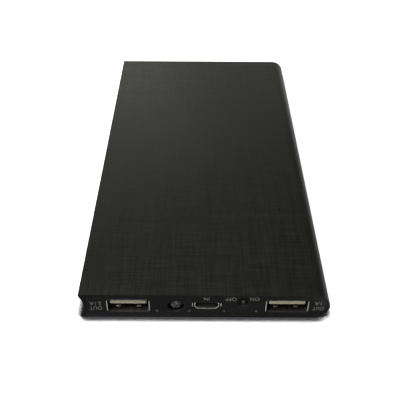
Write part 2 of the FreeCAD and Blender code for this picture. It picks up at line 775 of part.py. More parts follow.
def make_cells():
    wires = {"red": [], "black": []}
    for side, x in cell_places.items():
        pouch = block(f"{side}_pouch_block", f"{x} - cellWidth / 2", cellStart, cellFloor, "cellWidth",
                      "cellLength", "cellThick")
        pouch = rounded(f"{side}_pouch_round", pouch, "cellCorner", runs_along("y"))
        terrace = centred(f"{side}_terrace", x, f"{cellStart} - terraceLong", terraceMiddle,
                          "cellWidth - 2 * terraceInset", "terraceLong", "terraceThick")
        tabs = []
        for i, way in enumerate((-1, 1)):
            middle = f"({x} + {way} * tabSpread / 2)"
            tab_start = f"({cellStart} - terraceLong - tabLong)"
            tabs.append(centred(f"{side}_tab{i}", middle, tab_start, terraceMiddle, "tabWide",
                                "tabLong", "tabThick"))
            # the inner tab of each pair is the positive one
            colour = "red" if (side == "left") == (way > 0) else "black"
            board_back = f"({boardFront} + boardDepth)"
            wires[colour].append(rod(f"{side}_wire{i}", middle, f"{board_back} - wireOverlap",
                                     "boardTop + wireRadius", "wireRadius",
                                     f"{tab_start} + tabLong - wireGap - {board_back} + wireOverlap"))
        node(f"{side}_cell", fused(f"{side}_cell", pouch, terrace))
        node(f"{side}_cell_tabs", group(f"{side}_cell_tabs", tabs))
    for colour, runs in wires.items():
        node(f"{colour}_leads", group(f"{colour}_leads", runs))

    strips = []
    pads = []
    for side, x in cell_places.items():
        strips.append(block(f"{side}_tape", f"{x} - cellWidth / 2 + foamInset", f"{cellStart} + foamInset",
                            "caseWall", "cellWidth - 2 * foamInset", "cellLength - 2 * foamInset", "tapeThick"))
        pads.append(block(f"{side}_pad", f"{x} - cellWidth / 2 + foamInset", f"{cellStart} + foamInset",
                          f"{cellFloor} + cellThick", "cellWidth - 2 * foamInset", "cellLength - 2 * foamInset",
                          f"caseHeight - caseWall - {cellFloor} - cellThick"))
    node("cell_tape", group("cell_tape", strips))
    node("foam_pads", group("foam_pads", pads))
    cell_end = f"({cellStart} + cellLength)"
    node("rear_bumper", block("rear_bumper", "cellShift - cellWidth + bumperInset", cell_end,
                              "caseHeight / 2 - bumperTall / 2", "2 * cellWidth - 2 * bumperInset",
                              f"{back} - capPlate - {cell_end}", "bumperTall"))
    node("tab_paper", block("tab_paper", "cellShift - cellWidth + tabPaperInset",
                            f"{cellStart} - terraceLong - tabLong",
                            f"{terraceMiddle} - tabThick / 2 - paperThick", "2 * cellWidth - 2 * tabPaperInset",
                            "tabLong", "paperThick"))
    paper_start = f"({screwLine} + bossWidth / 2 + floorPaperGap)"
    node("floor_paper", block("floor_paper", "-boardWidth / 2 + floorPaperInset", paper_start, "caseWall",
                              "boardWidth - 2 * floorPaperInset", f"{boardFront} + boardDepth - {paper_start}",
                              "paperThick"))


# ---- parts on the board ----

def chip(name, x, wide, pins):
    """A moulded chip with gull-wing legs along its front and back edges."""
    y = f"({boardFront} + chipBack)"
    body = centred(f"{name}_body", x, y, "boardTop + chipLift + chipTall / 2", wide, "chipDeep", "chipTall")
    legs = []
    back_knee = f"{y} + chipDeep + pinShoulder - pinThick"
    rows = [
        # where the shoulder, the riser and the foot of a leg start
        (f"{y} - pinShoulder", f"{y} - pinShoulder", f"{y} - pinOut"),
        (f"{y} + chipDeep", back_knee, back_knee),
    ]
    for row, (shoulder_start, knee, foot_start) in enumerate(rows):
        for i in range(pins):
            middle = f"({x} + ({i} - {(pins - 1) / 2}) * pinPitch)"
            shoulder = block(f"{name}_shoulder{row}{i}", f"{middle} - pinWide / 2", shoulder_start,
                             "boardTop + chipTall / 2", "pinWide", "pinShoulder", "pinThick")
            riser = block(f"{name}_riser{row}{i}", f"{middle} - pinWide / 2", knee, "boardTop", "pinWide",
                          "pinThick", "chipTall / 2 + pinThick")
            foot = block(f"{name}_foot{row}{i}", f"{middle} - pinWide / 2", foot_start, "boardTop", "pinWide",
                         "pinOut - pinShoulder + pinThick", "pinThick")
            legs.append(fused(f"{name}_leg{row}{i}", shoulder, riser, foot))
    node(name, body)
    node(f"{name}_legs", group(f"{name}_legs", legs))


def scatter(name, places, wide, deep, tall):
    """Small rectangular parts on the board, at places given across from the middle and back from its front."""
    node(name, group(name, [
        block(f"{name}{i}", f"{x} - {wide} / 2", f"{boardFront} + {y}", "boardTop", wide, deep, tall)
        for i, (x, y) in enumerate(places)
    ]))


def make_electronics():
    coil_x = "coilPlace"
    coil_y = f"({boardFront} + coilBack)"
    lower = rod("coil_lower", coil_x, coil_y, "boardTop", "coilWide / 2", "coilFlange", "Z")
    neck = rod("coil_neck", coil_x, coil_y, "boardTop", "coilNeck", "coilTall", "Z")
    upper = rod("coil_upper", coil_x, coil_y, "boardTop + coilTall - coilFlange", "coilWide / 2", "coilFlange",
                "Z")
    node("coil_core", fused("coil_core", lower, neck, upper))
    wound = rod("coil_outer", coil_x, coil_y, "boardTop + coilFlange", "coilWide / 2 - coilInset",
                "coilTall - 2 * coilFlange", "Z")
    hole = rod("coil_hole", coil_x, coil_y, "boardTop + coilFlange", "coilNeck", "coilTall - 2 * coilFlange",
               "Z")
    node("coil_winding", cut("coil_winding", wound, hole))

    chip("boost_chip", "boostPlace", "boostWide", 4)
    chip("control_chip", "controlPlace", "controlWide", 8)
    scatter("guard_chips", [(-25, 15.4), (-20.5, 15.4)], "guardWide", "guardDeep", "smallTall")
    scatter("output_switches", [(22.5, 16), (27.5, 16)], "outputWide", "outputDeep", "smallTall")
    scatter("ceramic_capacitors", [(-4.6, 12.4), (-4.6, 15.2), (-14.6, 12.4), (-14.6, 15.4), (7, 10.2)],
            "capacitorWide", "capacitorDeep", "capacitorTall")
    side_columns = [(x, 16 + 1.6 * i) for x in (-30, 31) for i in range(3)]
    front_pair = [(11, 11.6), (13.4, 11.6)]
    scatter("resistors", side_columns + front_pair, "resistorWide", "resistorDeep", "resistorTall")


make_case()
make_front_cap()
make_rear_cap()
make_board()
make_screws()
make_socket("left_socket", "leftSocket")
make_socket("right_socket", "rightSocket")
make_inlet()
make_torch()
make_indicators()
make_switch()
make_cells()
make_electronics()

doc.recompute()

for item in doc.Objects:
    if "Invalid" in item.State or "Error" in item.State:
        raise RuntimeError(f"{item.Name} failed to build: {item.State}")
for item in nodes:
    shape = item.Shape
    if shape.isNull() or not shape.isValid() or not shape.Solids:
        raise RuntimeError(f"{item.Label} has no valid solid")

os.makedirs("parts", exist_ok=True)
for item in nodes:
    item.Shape.exportStep(f"parts/{item.Label}.step")
    box = item.Shape.BoundBox
    print(f"{item.Label:20} {len(item.Shape.Solids):2} solids  {item.Shape.Volume:9.2f} mm3  "
          f"X {box.XMin:.2f}..{box.XMax:.2f}  Y {box.YMin:.2f}..{box.YMax:.2f}  "
          f"Z {box.ZMin:.2f}..{box.ZMax:.2f}")
print(len(nodes), "sub-parts written")
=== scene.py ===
import math

import bmesh
import bpy
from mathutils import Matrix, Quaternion, Vector


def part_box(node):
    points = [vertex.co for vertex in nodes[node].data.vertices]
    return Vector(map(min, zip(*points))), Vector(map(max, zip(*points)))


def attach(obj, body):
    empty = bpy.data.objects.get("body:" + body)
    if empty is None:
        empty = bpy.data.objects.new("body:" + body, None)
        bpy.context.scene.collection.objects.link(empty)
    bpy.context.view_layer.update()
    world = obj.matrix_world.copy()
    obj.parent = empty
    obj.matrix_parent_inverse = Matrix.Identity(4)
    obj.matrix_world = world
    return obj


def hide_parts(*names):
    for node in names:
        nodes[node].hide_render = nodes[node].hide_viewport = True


# Slim book-shaped power bank. It lies on its top, so its lettering stands upside down, and its sockets
# face the viewer. Metres throughout: X across to the round spine, Y away from the sockets, Z up.

mm = 0.001
mergeGap = 1e-7  # points nearer than this become one
rimAngle = 60  # degrees: an edge sharper than this is a rim, not part of a rounded corner

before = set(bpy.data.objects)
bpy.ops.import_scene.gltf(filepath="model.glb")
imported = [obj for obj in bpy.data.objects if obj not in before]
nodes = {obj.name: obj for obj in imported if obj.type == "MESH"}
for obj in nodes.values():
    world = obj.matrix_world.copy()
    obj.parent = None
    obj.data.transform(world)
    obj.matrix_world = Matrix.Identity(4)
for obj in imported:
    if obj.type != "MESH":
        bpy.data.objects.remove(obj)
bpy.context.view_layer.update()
scene = bpy.context.scene


def boxOf(node):
    low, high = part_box(node)
    return {"low": low, "high": high, "mid": (low + high) / 2, "size": high - low}


caseBox = boxOf("case_sleeve")
leftShell, rightShell = boxOf("left_socket_shell"), boxOf("right_socket_shell")
leftTongue, rightTongue = boxOf("left_socket_tongue"), boxOf("right_socket_tongue")
inletBox, inletTongue = boxOf("inlet_shell"), boxOf("inlet_tongue")
torchBox = boxOf("torch_lamp")
pipsBox = boxOf("indicator_pips")
knobBox = boxOf("switch_knob")
boardBox = boxOf("circuit_board")
screwsBox = boxOf("board_screws")


def finishPiece(name, bm, material, body="case", sharp=35, stands=()):
    bmesh.ops.remove_doubles(bm, verts=bm.verts, dist=mergeGap)
    bmesh.ops.recalc_face_normals(bm, faces=bm.faces)
    mesh = bpy.data.meshes.new(name)
    bm.to_mesh(mesh)
    bm.free()
    mesh.shade_smooth()
    mesh.set_sharp_from_angle(angle=math.radians(sharp))
    mesh.materials.append(material)
    piece = bpy.data.objects.new(name, mesh)
    scene.collection.objects.link(piece)
    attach(piece, body)
    if stands:
        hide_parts(*stands)
    return piece


def onlyVerts(geom):
    return [e for e in geom if isinstance(e, bmesh.types.BMVert)]


def onlyFaces(geom):
    return [e for e in geom if isinstance(e, bmesh.types.BMFace)]


def lineTo(bm, vert, x=0.0, y=0.0, z=0.0):
    made = bmesh.ops.extrude_vert_indiv(bm, verts=[vert])["verts"]
    bmesh.ops.translate(bm, verts=made, vec=(x, y, z))
    return made[0]


def arcTo(bm, vert, centre, degrees, steps, axis=(0, 1, 0)):
    made = bmesh.ops.spin(bm, geom=[vert], cent=centre, axis=axis, angle=math.radians(degrees),
                          steps=steps, use_merge=False)
    return onlyVerts(made["geom_last"])[0]


def pushFaces(bm, faces, x=0.0, y=0.0, z=0.0):
    made = bmesh.ops.extrude_face_region(bm, geom=faces)["geom"]
    bmesh.ops.translate(bm, verts=onlyVerts(made), vec=(x, y, z))


def bevelEdges(bm, edges, width, segments=2):
    bmesh.ops.bevel(bm, geom=edges, offset=width, offset_type="OFFSET", segments=segments, profile=0.5,
                    affect="EDGES", clamp_overlap=True, material=-1)


def sharpEdges(bm, test, degrees=rimAngle):
    least = math.radians(degrees)
    return [e for e in bm.edges if len(e.link_faces) == 2 and e.calc_face_angle(0) > least and test(e)]


def allAt(edge, axis, place, near=1e-6):
    return all(abs(v.co[axis] - place) < near for v in edge.verts)


def roundedLoop(bm, y, x, z, wide, tall, radius, steps=5):
    last = bm.verts.new((x - wide / 2 + radius, y, z - tall / 2))
    for wayX, wayZ in ((1, 0), (0, 1), (-1, 0), (0, -1)):
        run = (wide if wayX else tall) - 2 * radius
        last = lineTo(bm, last, x=wayX * run, z=wayZ * run)
        centre = last.co + Vector((-wayZ * radius, 0, wayX * radius))
        last = arcTo(bm, last, centre, -90, steps)


def circleLoop(bm, y, x, z, radius, steps):
    arcTo(bm, bm.verts.new((x + radius, y, z)), (x, y, z), 360, steps)


def pointsLoop(bm, y, points):
    verts = [bm.verts.new((x, y, z)) for x, z in points]
    for i, vert in enumerate(verts):
        bm.edges.new((vert, verts[(i + 1) % len(verts)]))


def fillLoops(bm, normal=(0, -1, 0)):
    # faces between nested loops; the inner loops stay open
    bmesh.ops.remove_doubles(bm, verts=bm.verts, dist=mergeGap)
    made = bmesh.ops.triangle_fill(bm, edges=bm.edges, use_beauty=True, use_dissolve=False, normal=normal)
    return onlyFaces(made["geom"])


def fillOne(bm):
    bmesh.ops.remove_doubles(bm, verts=bm.verts, dist=mergeGap)
    return bmesh.ops.contextual_create(bm, geom=bm.edges)["faces"]


def ringFrom(bm, faces, wall):
    made = bmesh.ops.inset_region(bm, faces=faces, thickness=wall, use_boundary=True, use_even_offset=True)
    ring = made["faces"]
    inner = [f for f in bm.faces if f not in ring]
    bmesh.ops.delete(bm, geom=inner, context="FACES_ONLY")
    return ring


def joinInto(bm, part):
    mesh = bpy.data.meshes.new("part")
    part.to_mesh(mesh)
    part.free()
    bm.from_mesh(mesh)
    bpy.data.meshes.remove(mesh)


def startBlock(low, high):
    part = bmesh.new()
    bmesh.ops.create_cube(part, size=1)
    bmesh.ops.scale(part, verts=part.verts, vec=[high[i] - low[i] for i in range(3)])
    bmesh.ops.translate(part, verts=part.verts, vec=[(high[i] + low[i]) / 2 for i in range(3)])
    return part


def addBlock(bm, low, high, edge, segments=2):
    part = startBlock(low, high)
    bevelEdges(part, part.edges[:], edge, segments)
    joinInto(bm, part)


def addTurned(bm, places, x, z, steps):
    # places: the outline from the axis outwards, as (radius, y) pairs, spun round the lengthwise axis
    part = bmesh.new()
    last = part.verts.new((x + places[0][0], places[0][1], z))
    for radius, y in places[1:]:
        last = lineTo(part, last, x=x + radius - last.co.x, y=y - last.co.y)
    bmesh.ops.spin(part, geom=part.verts[:] + part.edges[:], cent=(x, 0, z), axis=(0, 1, 0),
                   angle=2 * math.pi, steps=steps, use_merge=True)
    bmesh.ops.remove_doubles(part, verts=part.verts, dist=mergeGap)
    bmesh.ops.recalc_face_normals(part, faces=part.faces)
    joinInto(bm, part)


def newGroup(name, inputs, outputs):
    tree = bpy.data.node_groups.new(name, "ShaderNodeTree")
    for label, kind, value in inputs:
        socket = tree.interface.new_socket(name=label, in_out="INPUT", socket_type="NodeSocket" + kind)
        if value is not None:
            socket.default_value = value
    for label, kind in outputs:
        tree.interface.new_socket(name=label, in_out="OUTPUT", socket_type="NodeSocket" + kind)
    return tree, tree.nodes.new("NodeGroupInput").outputs, tree.nodes.new("NodeGroupOutput").inputs


def put(tree, kind, values=None, **settings):
    node = tree.nodes.new("ShaderNode" + kind)
    for key, value in settings.items():
        setattr(node, key, value)
    for key, value in (values or {}).items():
        node.inputs[key].default_value = value
    return node


def maths(tree, operation, a, b=None, clamp=False):
    node = put(tree, "Math", operation=operation, use_clamp=clamp)
    for socket, value in zip(node.inputs, (a, b)):
        if isinstance(value, (int, float)):
            socket.default_value = value
        elif value is not None:
            tree.links.new(value, socket)
    return node.outputs[0]


def makeStreakGroup():
    # noise drawn out into streaks: the larger a scale, the finer along that axis
    tree, given, out = newGroup("streaks", [
        ("Vector", "Vector", None), ("Scale X", "Float", 900.0), ("Scale Y", "Float", 20.0),
        ("Scale Z", "Float", 900.0), ("Detail", "Float", 2.0), ("Contrast", "Float", 1.0),
    ], [("Value", "Float")])
    scale = put(tree, "CombineXYZ")
    for axis in "XYZ":
        tree.links.new(given["Scale " + axis], scale.inputs[axis])
    stretch = put(tree, "VectorMath", operation="MULTIPLY")
    tree.links.new(given["Vector"], stretch.inputs[0])
    tree.links.new(scale.outputs[0], stretch.inputs[1])
    noise = put(tree, "TexNoise", {"Scale": 1.0, "Roughness": 0.55})
    tree.links.new(stretch.outputs[0], noise.inputs["Vector"])
    tree.links.new(given["Detail"], noise.inputs["Detail"])
    middle = 0.5  # contrast spreads the noise about this value
    centred = maths(tree, "SUBTRACT", noise.outputs["Fac"], middle)
    spread = maths(tree, "MULTIPLY", centred, given["Contrast"])
    tree.links.new(maths(tree, "ADD", spread, middle, clamp=True), out["Value"])
    return tree


def makeSpeckGroup():
    # sparse specks of dust: a mask that is 1 on a speck
    tree, given, out = newGroup("specks", [
        ("Vector", "Vector", None), ("Scale", "Float", 400.0), ("Size", "Float", 0.12),
        ("Share", "Float", 0.2),
    ], [("Mask", "Float")])
    cells = put(tree, "TexVoronoi", {"Randomness": 1.0}, feature="F1")
    tree.links.new(given["Vector"], cells.inputs["Vector"])
    tree.links.new(given["Scale"], cells.inputs["Scale"])
    chance = put(tree, "SeparateColor")
    tree.links.new(cells.outputs["Color"], chance.inputs[0])
    chosen = maths(tree, "LESS_THAN", chance.outputs["Red"], given["Share"])
    own = maths(tree, "MULTIPLY", given["Size"], chance.outputs["Green"])
    inside = maths(tree, "LESS_THAN", cells.outputs["Distance"], own)
    tree.links.new(maths(tree, "MULTIPLY", chosen, inside), out["Mask"])
    return tree


def makeEdgeGroup():
    # 1 along convex and concave edges, 0 on the flats
    tree, given, out = newGroup("edgeMask", [
        ("Radius", "Float", 0.0002), ("Sharpness", "Float", 3.0),
    ], [("Mask", "Float")])
    soft = put(tree, "Bevel", samples=2)
    tree.links.new(given["Radius"], soft.inputs["Radius"])
    flat = put(tree, "NewGeometry")
    dot = put(tree, "VectorMath", operation="DOT_PRODUCT")
    tree.links.new(soft.outputs[0], dot.inputs[0])
    tree.links.new(flat.outputs["Normal"], dot.inputs[1])
    turned = maths(tree, "SUBTRACT", 1.0, dot.outputs["Value"])
    tree.links.new(maths(tree, "MULTIPLY", turned, given["Sharpness"], clamp=True), out["Mask"])
    return tree


streakGroup = makeStreakGroup()
speckGroup = makeSpeckGroup()
edgeGroup = makeEdgeGroup()
print("shader groups made")


def startMaterial(name, shader=None):
    material = bpy.data.materials.new(name)
    material.use_nodes = True
    tree = material.node_tree
    tree.nodes.clear()
    surface = put(tree, "BsdfPrincipled", shader)
    output = put(tree, "OutputMaterial")
    tree.links.new(surface.outputs[0], output.inputs["Surface"])
    place = put(tree, "TexCoord").outputs["Object"]
    return material, tree, surface.inputs, place


def useGroup(tree, source, values, vector=None):
    node = put(tree, "Group")
    node.node_tree = source
    for key, value in values.items():
        node.inputs[key].default_value = value
    if vector is not None:
        tree.links.new(vector, node.inputs["Vector"])
    return node.outputs[0]


def useStreaks(tree, place, across, along, up, detail, contrast):
    return useGroup(tree, streakGroup, {"Scale X": across, "Scale Y": along, "Scale Z": up,
                                        "Detail": detail, "Contrast": contrast}, place)


def useGrain(tree, place, scale, detail, contrast):
    # the same scale every way, so it is blotches and not streaks
    return useStreaks(tree, place, scale, scale, scale, detail, contrast)


def tint(tree, factor, low, high):
    ramp = put(tree, "Mix", {"A": (*low, 1), "B": (*high, 1)}, data_type="RGBA")
    tree.links.new(factor, ramp.inputs["Factor"])
    return ramp.outputs["Result"]


def tintOver(tree, factor, under, over):
    ramp = put(tree, "Mix", {"B": (*over, 1)}, data_type="RGBA")
    tree.links.new(factor, ramp.inputs["Factor"])
    tree.links.new(under, ramp.inputs["A"])
    return ramp.outputs["Result"]


def between(tree, factor, low, high):
    ramp = put(tree, "MapRange", {"To Min": low, "To Max": high})
    tree.links.new(factor, ramp.inputs["Value"])
    return ramp.outputs[0]


def bump(tree, height, distance, strength=1.0):
    node = put(tree, "Bump", {"Distance": distance, "Strength": strength})
    tree.links.new(height, node.inputs["Height"])
    return node.outputs[0]


def mixTwo(tree, first, second, share=0.5):
    firstPart = maths(tree, "MULTIPLY", first, share)
    secondPart = maths(tree, "MULTIPLY", second, 1 - share)
    return maths(tree, "ADD", firstPart, secondPart)


def dress(tree, surface, pattern, dark, light, rough, height, grain):
    tree.links.new(tint(tree, pattern, dark, light), surface["Base Color"])
    tree.links.new(between(tree, pattern, *rough), surface["Roughness"])
    tree.links.new(bump(tree, height, grain), surface["Normal"])


anodisedValues = {
    "shader": {"IOR": 1.45, "Specular IOR Level": 0.42},
    "dark": (0.0030, 0.0032, 0.0020), "light": (0.0190, 0.0196, 0.0150),
    "worn": (0.045, 0.045, 0.04), "dust": (0.09, 0.09, 0.085),
    # streaks: scale across, along and up, then detail and contrast
    "lengthwise": (1700, 90, 1700, 3, 2.2), "crosswise": (90, 1600, 90, 3, 2.2),
    "bands": (420, 14, 420, 2, 1.5), "rows": (12, 360, 12, 2, 1.5), "cloud": (35, 25, 35, 2, 1.6),
    "fineShare": 0.65, "rough": (0.24, 0.50), "cloudRough": 0.06, "grain": 0.00005, "grainStrength": 0.8,
    "specks": {"Scale": 330, "Size": 0.07, "Share": 0.05},
    "edges": {"Radius": 0.00012, "Sharpness": 2.2}, "wear": 0.5,
}


def makeAnodised(name):
    # fine crossed brushing over broader bands and rows, with dust specks and worn edges
    v = anodisedValues
    material, tree, surface, place = startMaterial(name, v["shader"])
    lengthwise = useStreaks(tree, place, *v["lengthwise"])
    crosswise = useStreaks(tree, place, *v["crosswise"])
    bands = useStreaks(tree, place, *v["bands"])
    rows = useStreaks(tree, place, *v["rows"])
    cloud = useStreaks(tree, place, *v["cloud"])
    fine = mixTwo(tree, lengthwise, crosswise)
    weave = mixTwo(tree, fine, mixTwo(tree, bands, rows), v["fineShare"])
    colour = tint(tree, weave, v["dark"], v["light"])
    colour = tintOver(tree, useGroup(tree, speckGroup, v["specks"], place), colour, v["dust"])
    wear = maths(tree, "MULTIPLY", useGroup(tree, edgeGroup, v["edges"]), cloud)
    colour = tintOver(tree, maths(tree, "MULTIPLY", wear, v["wear"]), colour, v["worn"])
    tree.links.new(colour, surface["Base Color"])
    clouded = maths(tree, "MULTIPLY", cloud, v["cloudRough"])
    tree.links.new(maths(tree, "ADD", between(tree, weave, *v["rough"]), clouded), surface["Roughness"])
    tree.links.new(bump(tree, fine, v["grain"], v["grainStrength"]), surface["Normal"])
    return material


# patterns below: scale, detail, contrast; streaks have three scales, and where no scale stands here
# each finish brings its own
plasticValues = {"shader": {"IOR": 1.48}, "pebble": (3, 1.6), "cloud": (130, 2, 1.5)}


def makePlastic(name, dark, light, rough, grain=0.000012, fine=4200):
    material, tree, surface, place = startMaterial(name, plasticValues["shader"])
    pebble = useGrain(tree, place, fine, *plasticValues["pebble"])
    cloud = useGrain(tree, place, *plasticValues["cloud"])
    dress(tree, surface, mixTwo(tree, pebble, cloud), dark, light, rough, pebble, grain)
    return material


metalValues = {"rolled": (3, 1.7), "stain": (350, 3, 1.6), "grain": 0.000004}


def makeMetal(name, dark, light, rough, along=60, across=2600, metallic=1.0):
    material, tree, surface, place = startMaterial(name, {"Metallic": metallic})
    rolled = useStreaks(tree, place, across, along, across, *metalValues["rolled"])
    stain = useGrain(tree, place, *metalValues["stain"])
    dress(tree, surface, mixTwo(tree, rolled, stain), dark, light, rough, rolled, metalValues["grain"])
    return material


clearValues = {"shader": {"Base Color": (0.96, 0.97, 0.97, 1), "IOR": 1.68, "Transmission Weight": 0.96},
               "swirl": (700, 2, 1.4), "rough": (0.02, 0.07), "grain": 0.00001}


def makeClear(name):
    v = clearValues
    material, tree, surface, place = startMaterial(name, v["shader"])
    swirl = useGrain(tree, place, *v["swirl"])
    tree.links.new(between(tree, swirl, *v["rough"]), surface["Roughness"])
    tree.links.new(bump(tree, swirl, v["grain"]), surface["Normal"])
    return material


foilValues = {"shader": {"Metallic": 0.85}, "dark": (0.42, 0.43, 0.44), "light": (0.66, 0.67, 0.68),
              "crinkle": {"Scale": 260.0, "Detail": 4.0, "Roughness": 0.6, "Distortion": 0.6},
              "rough": (0.28, 0.5), "grain": 0.0001}


def makeFoil(name):
    v = foilValues
    material, tree, surface, place = startMaterial(name, v["shader"])
    crinkle = put(tree, "TexNoise", v["crinkle"])
    tree.links.new(place, crinkle.inputs["Vector"])
    folds = crinkle.outputs["Fac"]
    dress(tree, surface, folds, v["dark"], v["light"], v["rough"], folds, v["grain"])
    return material


fibreValues = {"fibres": (1800, 450, 1800, 4, 1.8), "pulp": (900, 3, 1.5), "rough": (0.75, 0.92),
               "grain": 0.00004}


def makeFibre(name, dark, light):
    v = fibreValues
    material, tree, surface, place = startMaterial(name)
    fibres = useStreaks(tree, place, *v["fibres"])
    pulp = useGrain(tree, place, *v["pulp"])
    mixed = mixTwo(tree, fibres, pulp)
    dress(tree, surface, mixed, dark, light, v["rough"], mixed, v["grain"])
    return material


boardValues = {"shader": {"Coat Weight": 0.35, "Coat Roughness": 0.2},
               "cells": {"Scale": 420.0, "Randomness": 0.7}, "trackGap": 0.09, "cloud": (200, 3, 1.3),
               "bare": (0.004, 0.06, 0.022), "track": (0.01, 0.13, 0.045), "rough": (0.3, 0.45),
               "grain": 0.00003}


def makeBoard(name):
    # green lacquer, paler and higher over the copper tracks
    v = boardValues
    material, tree, surface, place = startMaterial(name, v["shader"])
    cells = put(tree, "TexVoronoi", v["cells"], feature="DISTANCE_TO_EDGE")
    tree.links.new(place, cells.inputs["Vector"])
    tracks = maths(tree, "GREATER_THAN", cells.outputs["Distance"], v["trackGap"])
    cloud = useGrain(tree, place, *v["cloud"])
    tree.links.new(tint(tree, tracks, v["bare"], v["track"]), surface["Base Color"])
    tree.links.new(between(tree, cloud, *v["rough"]), surface["Roughness"])
    tree.links.new(bump(tree, tracks, v["grain"]), surface["Normal"])
    return material


anodised = makeAnodised("anodisedBlack")
capPlastic = makePlastic("capPlastic", dark=(0.0058, 0.0058, 0.0055), light=(0.0105, 0.0105, 0.0100),
                         rough=(0.38, 0.5))
socketSteel = makeMetal("socketSteel", dark=(0.05, 0.049, 0.045), light=(0.12, 0.117, 0.11),
                        rough=(0.38, 0.52))
# a paler steel that paints a highlight on the sockets' mouth rims
rimHighlightSteel = makeMetal("rimHighlightSteel", dark=(0.5, 0.48, 0.44), light=(0.72, 0.7, 0.66), rough=(0.45, 0.6),
                      metallic=0.35)
tonguePlastic = makePlastic("tonguePlastic", dark=(0.42, 0.365, 0.275), light=(0.60, 0.525, 0.40),
                            rough=(0.28, 0.38), fine=2600)
blackNylon = makePlastic("blackNylon", dark=(0.006, 0.006, 0.006), light=(0.012, 0.012, 0.012),
                         rough=(0.3, 0.42))
knobPlastic = makePlastic("knobPlastic", dark=(0.02, 0.02, 0.02), light=(0.034, 0.034, 0.034),
                          rough=(0.34, 0.46))
goldFlash = makeMetal("goldFlash", dark=(0.62, 0.42, 0.13), light=(0.84, 0.62, 0.24), rough=(0.2, 0.32))
tinPlate = makeMetal("tinPlate", dark=(0.5, 0.5, 0.5), light=(0.72, 0.72, 0.71), rough=(0.22, 0.4))
zincPlate = makeMetal("zincPlate", dark=(0.36, 0.37, 0.38), light=(0.55, 0.56, 0.57), rough=(0.25, 0.42))
cellTab = makeMetal("cellTab", dark=(0.55, 0.55, 0.53), light=(0.76, 0.75, 0.72), rough=(0.3, 0.45),
                    along=30)
enamelCopper = makeMetal("enamelCopper", dark=(0.45, 0.16, 0.05), light=(0.72, 0.3, 0.11),
                         rough=(0.16, 0.3), along=2600, across=300)
clearResin = makeClear("clearResin")
milkyGuide = makePlastic("milkyGuide", dark=(0.075, 0.075, 0.073), light=(0.12, 0.12, 0.117),
                         rough=(0.25, 0.4))
redSilicone = makePlastic("redSilicone", dark=(0.38, 0.012, 0.012), light=(0.55, 0.02, 0.018),
                          rough=(0.4, 0.5))
blackSilicone = makePlastic("blackSilicone", dark=(0.01, 0.01, 0.01), light=(0.018, 0.018, 0.018),
                            rough=(0.4, 0.5))
ferriteGrey = makePlastic("ferriteGrey", dark=(0.045, 0.045, 0.05), light=(0.075, 0.075, 0.08),
                          rough=(0.5, 0.7), fine=2600)
chipResin = makePlastic("chipResin", dark=(0.012, 0.012, 0.013), light=(0.022, 0.022, 0.024),
                        rough=(0.45, 0.6), fine=6000)
tanCeramic = makePlastic("tanCeramic", dark=(0.4, 0.28, 0.17), light=(0.56, 0.42, 0.27), rough=(0.35, 0.5),
                         fine=3200)
blackFoam = makePlastic("blackFoam", dark=(0.02, 0.02, 0.02), light=(0.045, 0.045, 0.045),
                        rough=(0.85, 0.98), grain=0.0001, fine=1900)
pouchFoil = makeFoil("pouchFoil")
tissueTape = makeFibre("tissueTape", dark=(0.62, 0.61, 0.57), light=(0.78, 0.77, 0.73))
tanCard = makeFibre("tanCard", dark=(0.42, 0.36, 0.22), light=(0.58, 0.52, 0.36))
solderMask = makeBoard("solderMask")
whiteInk = makePlastic("whiteInk", dark=(0.15, 0.15, 0.145), light=(0.25, 0.25, 0.243), rough=(0.5, 0.65),
                       grain=0.000004)
print("materials made")

# the CAD nodes that stay as they are take these finishes
finishes = {
    solderMask: ["circuit_board"],
    zincPlate: ["board_screws"],
    goldFlash: ["left_socket_contacts", "right_socket_contacts", "inlet_contacts", "switch_wiper"],
    tinPlate: ["torch_leads", "switch_pins", "boost_chip_legs", "control_chip_legs"],
    socketSteel: ["switch_cover"],
    blackNylon: ["switch_base", "inlet_tongue"],
    milkyGuide: ["indicator_lamps"],
    pouchFoil: ["left_cell", "right_cell"],
    cellTab: ["left_cell_tabs", "right_cell_tabs"],
    redSilicone: ["red_leads"],
    blackSilicone: ["black_leads"],
    tissueTape: ["cell_tape"],
    blackFoam: ["foam_pads", "rear_bumper"],
    tanCard: ["tab_paper", "floor_paper"],
    ferriteGrey: ["coil_core"],
    enamelCopper: ["coil_winding"],
    chipResin: ["boost_chip", "control_chip", "guard_chips", "output_switches", "resistors"],
    tanCeramic: ["ceramic_capacitors"],
}
for material, names in finishes.items():
    for name in names:
        mesh = nodes[name].data
        mesh.materials.clear()
        mesh.materials.append(material)
print("finishes given to the CAD nodes")

sleeveValues = {"wall": 0.8 * mm, "groove": 1.2 * mm, "lip": 0.9 * mm, "endEdge": 0.12 * mm,
                "lipEdge": 0.15 * mm, "edgeSteps": 3, "lipAngle": 40}


